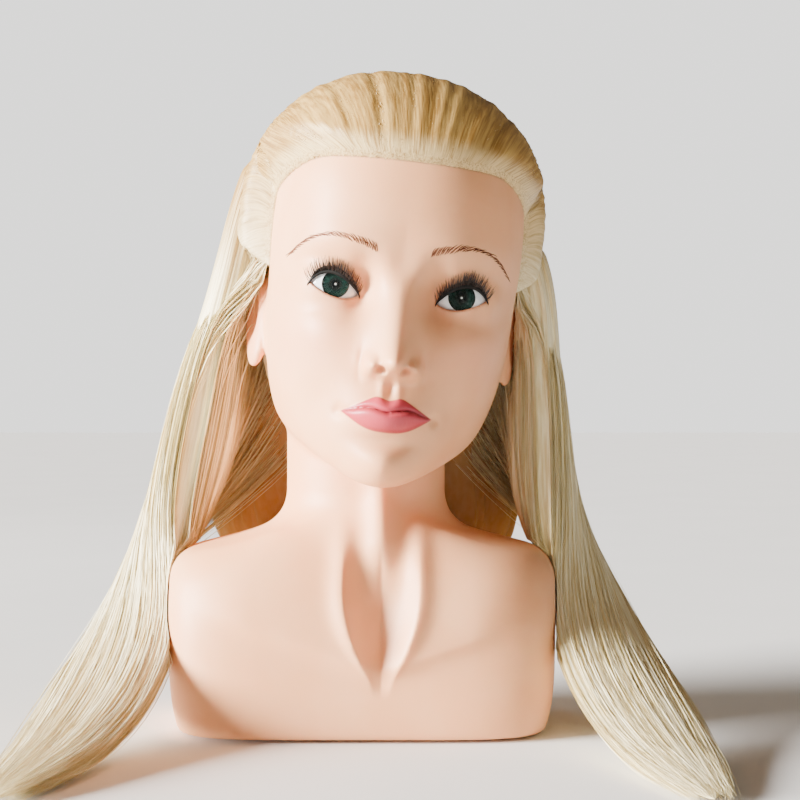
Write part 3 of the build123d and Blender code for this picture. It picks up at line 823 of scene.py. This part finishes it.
def hair_paths(roots, levels, rng, inner):
    """Whole strands: over the head, down behind the ears and along the falls, and how each point faces."""
    over = resample(comb_out(roots, levels), 16)
    leave = over[:, -1]
    count = len(leave)
    right = leave[:, 0] + rng.normal(0, 3, count) < 0
    angle = np.degrees(np.arctan2(np.abs(leave[:, 0]), leave[:, 1] - WIDEST))
    order = np.clip((80 - angle) / 66 + rng.normal(0, 0.10, count), 0, 1)
    turn = pi * (0.93 - 0.90 * order)
    turn = np.where(rng.uniform(0, 1, count) < inner, -turn, turn)
    size = 1.0 + rng.normal(0.01, 0.025, count)
    join_z = np.interp(order, [0, 0.35, 0.75, 1.0], [268, 232, 170, 110]) + rng.normal(0, 24, count)
    join_z = np.clip(join_z, 85, to_row(leave)[:, 2] - 24)
    over_row = to_row(over)
    _, normal = crown_slope(over.reshape(-1, 3))
    faces = (normal @ HEAD.T).reshape(over.shape)
    places, outward = np.zeros((count, 18, 3)), np.zeros((count, 18, 3))
    for fall, mine in zip(FALLS, (right, ~right)):
        start = fall.at_height(join_z[mine])[:, None]
        t = start + (1 - start) * np.linspace(0, 1, 18)[None]
        a, b = around(turn[mine, None] + 0 * t)
        wide = size[mine, None] * (1 + 0.1 * t**3 * rng.normal(0, 1, (mine.sum(), 1)))
        places[mine], outward[mine] = fall.points(t, a * wide, b * wide)
        outward[mine] *= np.where(turn[mine] < 0, -1, 1)[:, None, None]
    s = np.linspace(0, 1, 8)[1:-1][None, :, None]
    bent = np.concatenate([s**1.9, s**1.5, s], -1)
    drop = over_row[:, -1:] * (1 - bent) + places[:, :1] * bent
    between = faces[:, -1:, :] * (1 - s) + outward[:, :1] * s
    path = np.concatenate([over_row, drop, places], 1)
    facing = np.concatenate([faces, between, outward], 1)
    return path, facing


def soften(path, rounds=2):
    """The path with its corners rounded, its ends kept."""
    for _ in range(rounds):
        inner = 0.25 * path[:, :-2] + 0.5 * path[:, 1:-1] + 0.25 * path[:, 2:]
        path = np.concatenate([path[:, :1], inner, path[:, -1:]], 1)
    return path


def clear_of_body(path, away=1.5):
    """The path pushed out of the skin wherever it would pass through."""
    flat = to_head(path.reshape(-1, 3))
    for _ in range(3):
        u, v, w = flat.T
        d = figure_distance(u, v, w)
        hit = d < away
        if not hit.any():
            break
        p = flat[hit]
        e = 0.2
        base = d[hit]
        slope = np.stack([figure_distance(*(p + shift).T) - base for shift in np.eye(3) * e], -1) / e
        slope /= np.maximum(np.linalg.norm(slope, axis=1, keepdims=True), 0.2)
        flat[hit] = p + (away - base)[:, None] * slope
    path = to_row(flat).reshape(path.shape)
    path[..., 2] = np.maximum(path[..., 2], 1.6)
    return path


def paint_vector(piece, name, values):
    """A vector for each vertex, which materials read by name."""
    layer = piece.data.attributes.new(name, "FLOAT_VECTOR", "POINT")
    layer.data.foreach_set("vector", np.ascontiguousarray(values, np.float32).ravel())


def make_crown():
    """The combed mass of hair on the head, with ridges that follow the comb."""
    step = 2.0
    axes = graded([(-112, 100, step)]), graded([(-96, 110, step)]), graded([(58, 260, step)])
    points, quads = sculpt(crown_shell, axes)
    root, far = traced_back(points)
    outside = np.abs(crown_distance(*points.T)) < 0.5
    ridges = 0.0
    for k, (way, size) in enumerate(zip(RIDGE_WAYS, RIDGE_SIZES)):
        ridges = ridges + np.sin(root @ way / size + 3 * k)
    _, normal = crown_slope(points)
    points += (outside * 0.16 * ridges * smoothstep(0, 20, far))[:, None] * normal
    mass = add_mesh("hair_crown_mass", to_row(points), quads)
    paint_vector(mass, "strand", (root + (far * 0.04)[:, None]) * MM)
    paint(mass, "tint", np.full(len(points), 0.5))
    paint(mass, "along", far / 700.0)
    # Painted shade: the crown mass's faces off its outside, under the hair, are painted deep orange-brown.
    paint(mass, "inside", np.where(outside, 0.0, 1.0))
    return mass


def make_fall(name, fall, rng, hidden=False, ring=200, rows=150):
    """One fall's mass: a closed tapering body with long ridges, kept clear of the skin and the table."""
    turn = np.linspace(0, 2 * pi, ring, endpoint=False)[:, None]
    t = np.tile(np.linspace(0, 1, rows), (ring, 1))
    swell = np.zeros((ring, rows))
    for waves in (9, 14, 23, 31, 44, 57):
        bend = np.sin(2 * pi * (rng.uniform(0.4, 1.2) * t + rng.uniform())) * rng.uniform(0.4, 1.4)
        swell += rng.uniform(0.5, 1.0) * np.sin(waves * turn + bend + rng.uniform(0, 2 * pi)) / waves
    ends = np.clip(np.minimum(t / 0.05, (1 - t) / 0.10), 0.0004, 1) ** 0.5
    a, b = around(turn + 0 * t)
    size = ends * (0.96 + 0.30 * swell)
    places, _ = fall.points(t, a * size, b * size)
    places = clear_of_body(places, 0.9)
    i, j = (k.ravel() for k in np.meshgrid(np.arange(ring), np.arange(rows - 1), indexing="ij"))
    here, beside = i * rows + j, (i + 1) % ring * rows + j
    faces = np.stack([here, beside, beside + 1, here + 1], 1)
    if fall.side > 0:
        faces = faces[:, ::-1]
    mass = add_mesh(name, places.reshape(-1, 3), faces)
    strand = np.stack([a * 0.036, b * 0.016 + 0.3 * fall.side, t * 0.02], -1)
    paint_vector(mass, "strand", strand.reshape(-1, 3))
    paint(mass, "tint", np.full(ring * rows, 0.5))
    paint(mass, "along", (0.35 + 0.65 * t).ravel())
    # Painted shade: the inner back of each side fall, and most of the back fall behind the neck, are painted
    # deep orange-brown.
    deep = smoothstep(-0.6, 0.0, b) if hidden else smoothstep(0.15, 0.75, a) * smoothstep(-0.1, -0.7, b)
    paint(mass, "inside", deep.ravel())
    return mass


def ribbons(name, path, facing, widths, tints, rng):
    """Strands of hair as narrow tapered ribbons, each rolled a little about its own line."""
    count, long = path.shape[:2]
    along = np.gradient(path, axis=1)
    along /= np.maximum(np.linalg.norm(along, axis=2, keepdims=True), 1e-6)
    aside = np.cross(along, facing)
    aside /= np.maximum(np.linalg.norm(aside, axis=2, keepdims=True), 1e-6)
    third = np.cross(aside, along)
    roll = rng.normal(0, 0.42, (count, 1, 1))
    aside = np.cos(roll) * aside + np.sin(roll) * third
    s = np.linspace(0, 1, long)
    taper = np.clip(s / 0.03, 0.45, 1) * np.clip((1 - s) / 0.28, 0.06, 1) ** 0.7
    half = (widths[:, None] * taper / 2)[..., None] * aside
    points = np.stack([path - half, path + half], 2).reshape(-1, 3)
    base = (np.arange(count) * long * 2)[:, None]
    k = np.arange(long - 1)[None] * 2
    quads = np.stack([base + k, base + k + 1, base + k + 3, base + k + 2], -1).reshape(-1, 4)
    piece = add_mesh(name, points, quads)
    paint(piece, "tint", np.repeat(tints, long * 2))
    paint(piece, "along", np.tile(np.repeat(s, 2), count))
    place = np.repeat(rng.uniform(0, 0.2, (count, 3)), long * 2, axis=0)
    place[:, 2] += 0.02 * np.tile(np.repeat(s, 2), count)
    paint_vector(piece, "strand", place)
    # No painted shade on the loose strands.
    paint(piece, "inside", np.zeros(len(points)))
    return piece


def make_hair(rng):
    """All the hair: solid masses of it, and loose strands over them in groups by where they are rooted."""
    scale = 1.0
    back = Fall([(0.0, y, z, width, thick, 90) for y, z, width, thick in BACK_FALL], -1)
    masses = (
        (make_crown(), ("hair_crown", "hair_nape")),
        (make_fall("hair_right_mass", FALLS[0], rng), ("hair_right",)),
        (make_fall("hair_left_mass", FALLS[1], rng), ("hair_left",)),
        (make_fall("hair_back_mass", back, rng, True), ("hair_back",)),
    )
    pieces = []
    for mass, nodes in masses:
        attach(mass, "root")
        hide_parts(*nodes)
        pieces.append(mass)
    groups = (
        # name, strands, lowest and highest root, band at the hairline, levels, share on inner faces
        ("hair_hairline", 3200, 120, 262, 7.0, (0.0, 1.1), 0.12),
        ("hair_top", 3000, 150, 262, None, (-0.6, 1.3), 0.15),
        ("hair_rooted_back", 1800, 100, 200, None, (-1.0, 1.0), 0.45),
    )
    for name, count, low, high, band, level, inner in groups:
        count = int(count * scale)
        roots = scatter_roots(rng, count, low, high, band)
        path, facing = hair_paths(roots, rng.uniform(*level, count), rng, inner)
        whole = resample(np.concatenate([soften(path, 3), facing], -1), 30)
        path, facing = whole[..., :3], whole[..., 3:]
        s = np.linspace(0, 1, 30)
        for k in range(3):
            turns, start = rng.uniform(0.5, 2.2, (count, 1)), rng.uniform(0, 1, (count, 1))
            sway = rng.normal(0, 1, (count, 1)) * np.sin(2 * pi * (turns * s + start))
            path[..., k] += sway * (0.10 + 1.8 * s**2.5)
        stop = rng.uniform(0.86, 1.0, count) ** 0.8
        cut = np.empty_like(path)
        for n in range(count):
            for k in range(3):
                cut[n, :, k] = np.interp(s * stop[n], s, path[n, :, k])
        piece = ribbons(name, clear_of_body(cut), facing, rng.uniform(0.35, 0.85, count),
                        np.clip(rng.normal(0.55, 0.22, count), 0, 1), rng)
        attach(piece, "root")
        pieces.append(piece)
    return pieces


# ---------------------------------------------------------------- materials

class Look:
    """A node material under construction around its Principled shader."""

    def __init__(self, name, colour, roughness, **sockets):
        self.material = bpy.data.materials.new(name)
        self.material.use_nodes = True
        self.tree = self.material.node_tree
        self.shader = self.tree.nodes["Principled BSDF"]
        self.shader.inputs["Base Color"].default_value = (*colour, 1)
        self.shader.inputs["Roughness"].default_value = roughness
        for socket, value in sockets.items():
            self.shader.inputs[socket.replace("_", " ")].default_value = value
        self.place = self.tree.nodes.new("ShaderNodeTexCoord").outputs["Object"]

    def feed(self, socket, value):
        if isinstance(value, bpy.types.NodeSocket):
            self.tree.links.new(value, socket)
        else:
            socket.default_value = value

    def noise(self, scale, detail=3.0, stretch=(1, 1, 1), where=None):
        mapping = self.tree.nodes.new("ShaderNodeMapping")
        mapping.inputs["Scale"].default_value = stretch
        self.feed(mapping.inputs["Vector"], where or self.place)
        node = self.tree.nodes.new("ShaderNodeTexNoise")
        self.feed(node.inputs["Vector"], mapping.outputs["Vector"])
        node.inputs["Scale"].default_value = scale
        node.inputs["Detail"].default_value = detail
        return node.outputs["Fac"]

    def painted(self, name):
        node = self.tree.nodes.new("ShaderNodeAttribute")
        node.attribute_name = name
        return node.outputs["Fac"]

    def math(self, kind, a, b=0.0, c=0.0):
        node = self.tree.nodes.new("ShaderNodeMath")
        node.operation = kind
        for socket, value in zip(node.inputs, (a, b, c)):
            self.feed(socket, value)
        return node.outputs[0]

    def times(self, a, b):
        return self.math("MULTIPLY", a, b)

    def span(self, value, low, high, to_low=0.0, to_high=1.0):
        node = self.tree.nodes.new("ShaderNodeMapRange")
        node.interpolation_type = "SMOOTHSTEP"
        self.feed(node.inputs["Value"], value)
        ends = {"From Min": low, "From Max": high, "To Min": to_low, "To Max": to_high}
        for socket, number in ends.items():
            node.inputs[socket].default_value = number
        return node.outputs["Result"]

    def mix(self, factor, a, b):
        node = self.tree.nodes.new("ShaderNodeMix")
        node.data_type = "RGBA"
        self.feed(node.inputs[0], factor)
        for socket, value in ((node.inputs[6], a), (node.inputs[7], b)):
            self.feed(socket, value if isinstance(value, bpy.types.NodeSocket) else (*value, 1))
        return node.outputs[2]

    def colour(self, value):
        self.feed(self.shader.inputs["Base Color"], value)

    def rough(self, value):
        self.feed(self.shader.inputs["Roughness"], value)

    def emboss(self, height, strength, distance):
        node = self.tree.nodes.new("ShaderNodeBump")
        node.inputs["Strength"].default_value = strength
        node.inputs["Distance"].default_value = distance
        self.feed(node.inputs["Height"], height)
        self.feed(self.shader.inputs["Normal"], node.outputs["Normal"])

    def dress(self, *objects):
        for thing in objects:
            if thing.data.materials:
                for index in range(len(thing.data.materials)):
                    thing.data.materials[index] = self.material
            else:
                thing.data.materials.append(self.material)


def vinyl_look():
    """Soft skin-coloured vinyl with painted lips, lid lines, blush and the hairline's seam, and painted shade in
    the nostrils and along the lips' parting.
    """
    look = Look("vinyl_skin", (0.85, 0.6, 0.47), 0.45, Subsurface_Weight=0.22, Subsurface_Scale=0.006,
                Subsurface_Radius=(1.0, 0.42, 0.26), Specular_IOR_Level=0.42)
    tone = look.mix(look.span(look.noise(22), 0.35, 0.65), (0.92, 0.465, 0.235), (0.88, 0.415, 0.195))
    for mask, share, shade in (
        (look.noise(950, 4), 0.16, (0.80, 0.42, 0.26)),
        (look.painted("blush"), 0.42, (0.86, 0.36, 0.22)),
        # Painted shade in the nostril dimples.
        (look.painted("nostril"), 0.9, (0.50, 0.18, 0.08)),
        (look.painted("lid_shadow"), 0.80, (0.10, 0.06, 0.045)),
        (look.painted("lid_line"), 0.85, (0.30, 0.10, 0.055)),
        (look.painted("seam"), 0.8, (0.10, 0.07, 0.05)),
    ):
        tone = look.mix(look.times(mask, share), tone, shade)
    lips = look.span(look.painted("lip_edge"), 2.6, 0.0)
    lips = look.mix(lips, (0.50, 0.045, 0.070), (0.42, 0.025, 0.046))
    # Painted shade: the lips darken along their parting, in the crease where they meet.
    lips = look.mix(look.span(look.painted("lip_parting_shade"), 1.7, 0.0, 0.0, 0.9), lips, (0.30, 0.016, 0.026))
    lips = look.mix(look.times(look.noise(420, 4, (3, 1, 0.4)), 0.35), lips, (0.64, 0.10, 0.13))
    on_lips = look.span(look.painted("lip_edge"), -0.35, 0.45)
    look.colour(look.mix(on_lips, tone, lips))
    satin = look.math("MULTIPLY_ADD", look.noise(300, 3), 0.10, 0.41)
    look.rough(look.math("SUBTRACT", satin, look.times(on_lips, 0.04)))
    grain = look.math("ADD", look.noise(1500, 4), look.times(look.noise(160, 2), 1.6))
    look.emboss(grain, 0.10, 0.0004)
    return look


def plain_look(name, light, dark, roughness, scale, bumpiness, **sockets):
    """A moulded or cut surface: two close tones, uneven gloss and a fine grain."""
    look = Look(name, light, roughness, **sockets)
    look.colour(look.mix(look.span(look.noise(scale * 0.2, 4), 0.3, 0.7), light, dark))
    look.rough(look.math("MULTIPLY_ADD", look.noise(scale, 3), 0.16, roughness - 0.08))
    look.emboss(look.noise(scale, 4), bumpiness, 0.0005)
    return look


def eye_place(look, side):
    """The distance from one eye's axis in millimetres, and coordinates that run round it for spokes."""
    node = look.tree.nodes.new("ShaderNodeMapping")
    centre = to_row(np.array([side * EYE_U, EYE_V, EYE_W]))
    node.inputs["Rotation"].default_value = Matrix(HEAD.T.tolist()).to_euler("XYZ")
    node.inputs["Location"].default_value = Vector(-(HEAD.T @ centre) * MM)
    look.feed(node.inputs["Vector"], look.place)
    split = look.tree.nodes.new("ShaderNodeSeparateXYZ")
    look.feed(split.inputs[0], node.outputs["Vector"])
    squares = [look.times(split.outputs[axis], split.outputs[axis]) for axis in ("X", "Z")]
    radius = look.math("SQRT", look.math("ADD", *squares))
    joined = look.tree.nodes.new("ShaderNodeCombineXYZ")
    safe = look.math("MAXIMUM", radius, 0.0002)
    look.feed(joined.inputs[0], look.math("DIVIDE", split.outputs["X"], safe))
    look.feed(joined.inputs[1], look.math("DIVIDE", split.outputs["Z"], safe))
    look.feed(joined.inputs[2], look.times(radius, 60.0))
    return look.times(radius, 1000.0), joined.outputs[0]


def dress_eyes():
    """Materials for the eyes' pieces: veined white, fibrous green iris, pupil with a painted highlight for its
    catch light, lens.
    """
    for side, name in ((-1, "right"), (1, "left")):
        white = Look(f"{name}_eye_white", (0.8, 0.82, 0.84), 0.10, Coat_Weight=0.5, Coat_Roughness=0.04)
        radius, _ = eye_place(white, side)
        tone = white.mix(white.span(radius, 8.5, 17.0), (0.83, 0.87, 0.90), (0.80, 0.62, 0.58))
        white.colour(white.mix(white.times(white.noise(500, 5), 0.12), tone, (0.72, 0.50, 0.46)))
        white.emboss(white.noise(300, 2), 0.02, 0.0003)
        white.dress(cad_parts[f"{name}_eye_white"])
        iris = Look(f"{name}_iris", (0.05, 0.12, 0.10), 0.5, Specular_IOR_Level=0.12)
        radius, spokes = eye_place(iris, side)
        fibre = iris.noise(9.0, 5, (1, 1, 0.6), spokes)
        green = iris.mix(iris.span(fibre, 0.32, 0.68), (0.007, 0.026, 0.021), (0.017, 0.056, 0.043))
        green = iris.mix(iris.span(radius, 4.6, 2.6), green, (0.010, 0.013, 0.012))
        iris.colour(iris.mix(iris.span(radius, 6.0, 7.2), green, (0.006, 0.012, 0.011)))
        iris.emboss(fibre, 0.04, 0.0003)
        iris.dress(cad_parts[f"{name}_iris"])
        pupil = Look(f"{name}_pupil", (0.004, 0.004, 0.004), 0.4, Specular_IOR_Level=0.12)
        radius, _ = eye_place(pupil, side)
        ring = pupil.mix(pupil.span(radius, 1.6, 2.6), (0.002, 0.002, 0.002), (0.020, 0.026, 0.024))
        # Painted highlight: a pale spot in the pupil's middle stands for the lamp's reflection.
        pupil.colour(pupil.mix(pupil.span(radius, 0.75, 0.45), ring, (0.75, 0.78, 0.76)))
        pupil.dress(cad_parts[f"{name}_pupil"])
        cornea = Look(f"{name}_cornea", (0.02, 0.03, 0.03), 0.03, Alpha=0.10, Specular_IOR_Level=0.6)
        cornea.emboss(cornea.noise(120, 1), 0.01, 0.0002)
        cornea.dress(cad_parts[f"{name}_cornea"])


def hair_look():
    """Blond fibre in fine streaks: golden on the head, paler in the falls, and painted shade in deep orange on
    its hidden inner faces.
    """
    warm = (1.0, 0.88, 0.62, 1.0)
    look = Look("hair", (0.80, 0.66, 0.33), 0.4, Specular_IOR_Level=0.45, Specular_Tint=warm)
    strand = look.tree.nodes.new("ShaderNodeAttribute")
    strand.attribute_name = "strand"
    fine = look.noise(1100, 4, where=strand.outputs["Vector"])
    broad = look.noise(260, 3, where=strand.outputs["Vector"])
    height = look.tree.nodes.new("ShaderNodeSeparateXYZ")
    look.feed(height.inputs[0], look.place)
    golden = look.span(height.outputs["Z"], 0.235, 0.315)
    streak = look.math("ADD", look.times(fine, 0.55), look.times(broad, 0.45))
    streak = look.math("ADD", streak, look.math("MULTIPLY_ADD", look.painted("tint"), 0.30, -0.15))
    falls = look.mix(look.span(streak, 0.36, 0.62), (0.74, 0.60, 0.30), (0.96, 0.89, 0.62))
    crown = look.mix(look.span(streak, 0.36, 0.64), (0.27, 0.140, 0.032), (0.54, 0.34, 0.105))
    tone = look.mix(golden, falls, crown)
    pale = look.times(look.span(look.painted("along"), 0.022, 0.004, 0.0, 0.6),
                     look.span(fine, 0.30, 0.60, 0.25, 1.0))
    pale = look.times(pale, look.span(height.outputs["Z"], 0.262, 0.290))
    tone = look.mix(pale, tone, (0.80, 0.62, 0.32))
    # Painted shade on the hair's hidden inner faces: deep orange-brown.
    tone = look.mix(look.times(look.painted("inside"), 0.85), tone, (0.50, 0.25, 0.07))
    look.colour(tone)
    look.rough(look.math("MULTIPLY_ADD", fine, 0.2, 0.30))
    look.emboss(streak, 0.5, 0.0008)
    return look


# The camera, in metres, with its lens and sensor in millimetres
CAMERA_PLACE = (0.0216, -0.9, 0.188)
LENS = 69.345
SENSOR_WIDTH = 36.0


def make_camera_and_lights():
    """The camera in front of the face, a low key from the figure's right, and soft light all round."""
    camera_data = bpy.data.cameras.new("camera")
    camera_data.sensor_width = SENSOR_WIDTH
    camera_data.lens = LENS
    camera = bpy.data.objects.new("camera", camera_data)
    camera.location = CAMERA_PLACE
    camera.rotation_euler = (radians(90), 0, 0)
    bpy.context.scene.collection.objects.link(camera)
    bpy.context.scene.camera = camera
    scene_collection = bpy.context.scene.collection
    # Each light's name, kind, place, size (the sun's angle), strength and colour
    for name, kind, place, size, strength, colour in (
        ("key", "SUN", (-1.94, -0.58, 0.66), radians(26), 27.0, (1.0, 0.97, 0.93)),
        ("fill", "AREA", (0.9, -1.5, 0.5), 1.2, 0.6, (1.0, 0.80, 0.62)),
        ("back", "AREA", (-1.2, 0.8, 0.6), 0.8, 6.0, (1.0, 0.99, 0.96)),
    ):
        light_data = bpy.data.lights.new(name, kind)
        if kind == "SUN":
            light_data.angle = size
        else:
            light_data.size = size
        light_data.energy = strength
        light_data.color = colour
        light = bpy.data.objects.new(name, light_data)
        light.location = place
        light.rotation_euler = (Vector((0, 0, 0.2)) - Vector(place)).to_track_quat("-Z", "Y").to_euler()
        scene_collection.objects.link(light)
    world = bpy.data.worlds.new("studio")
    world.use_nodes = True
    nodes, links = world.node_tree.nodes, world.node_tree.links
    ray = nodes.new("ShaderNodeLightPath")
    shade = nodes.new("ShaderNodeMix")
    shade.data_type = "RGBA"
    links.new(ray.outputs["Is Camera Ray"], shade.inputs[0])
    shade.inputs[6].default_value = (0.180, 0.145, 0.110, 1)
    shade.inputs[7].default_value = (1.80, 1.78, 1.74, 1)
    links.new(shade.outputs[2], nodes["Background"].inputs["Color"])
    bpy.context.scene.world = world


def make_floor():
    """A wide pale table top."""
    count = 17
    lines = np.linspace(-8000, 8000, count)
    points = [(x, y, 0.0) for y in lines for x in lines]
    corners = np.array([k * count + j for k in range(count - 1) for j in range(count - 1)])
    floor = add_mesh("floor", points, np.stack([corners + step for step in (0, 1, count + 1, count)], 1))
    look = Look("floor_white", (0.86, 0.85, 0.84), 0.8, Specular_IOR_Level=0.1)
    look.colour(look.mix(look.span(look.noise(6, 3), 0.3, 0.7), (0.87, 0.865, 0.86), (0.85, 0.845, 0.84)))
    look.dress(floor)


def ridden(piece, slot, *nodes):
    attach(piece, "root")
    if nodes:
        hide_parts(*nodes)
    return piece


make_camera_and_lights()
make_floor()
rng = np.random.default_rng(7)

skin, scalp, foam = make_skin()
vinyl_look().dress(skin)
plain_look("scalp", (0.56, 0.40, 0.22), (0.47, 0.32, 0.17), 0.6, 400, 0.3).dress(scalp)
plain_look("foam", (0.80, 0.72, 0.50), (0.70, 0.60, 0.38), 0.85, 500, 0.6).dress(foam)

band_look = plain_look("lash_band", (0.004, 0.004, 0.004), (0.008, 0.007, 0.006), 0.6, 900, 0.3,
                       Specular_IOR_Level=0.2)
lash_look = plain_look("lash_hair", (0.016, 0.010, 0.008), (0.034, 0.019, 0.013), 0.5, 600, 0.1)
for side, name in ((-1, "right"), (1, "left")):
    band_look.dress(ridden(make_lash_band(side, f"{name}_lash_strip"), "lash_band", f"{name}_lash_band"))
    lash_look.dress(ridden(make_lashes(side, f"{name}_lash_hairs", rng), "lash_hair", f"{name}_lashes"))
brow_look = plain_look("brow_paint", (0.145, 0.052, 0.026), (0.095, 0.032, 0.016), 0.7, 500, 0.1,
                       Specular_IOR_Level=0.15)
brow_look.dress(ridden(make_brows(rng), "vinyl_skin"))

hair_look().dress(*make_hair(rng))

dress_eyes()

# The clamp socket, base plate and their fastenings: name, light and dark tones, roughness, scale, bump and nodes
for name, light, dark, *grain, nodes in (
    ("socket_plastic", (0.72, 0.72, 0.70), (0.66, 0.66, 0.64), 0.35, 250, 0.15, ("socket_tube",)),
    ("plate_plastic", (0.66, 0.58, 0.50), (0.60, 0.52, 0.44), 0.42, 220, 0.25, ("base_plate",)),
    ("screw_steel", (0.58, 0.57, 0.56), (0.48, 0.47, 0.46), 0.32, 700, 0.2,
     ("base_screws", "socket_screws")),
    ("anchor_plastic", (0.45, 0.46, 0.47), (0.40, 0.41, 0.42), 0.45, 300, 0.2, ("screw_anchors",)),
    ("foot_rubber", (0.022, 0.022, 0.022), (0.035, 0.035, 0.034), 0.7, 350, 0.4, ("foot_pads",)),
):
    look = plain_look(name, light, dark, *grain, Metallic=1.0 if name == "screw_steel" else 0.0)
    look.dress(*(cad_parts[node] for node in nodes))
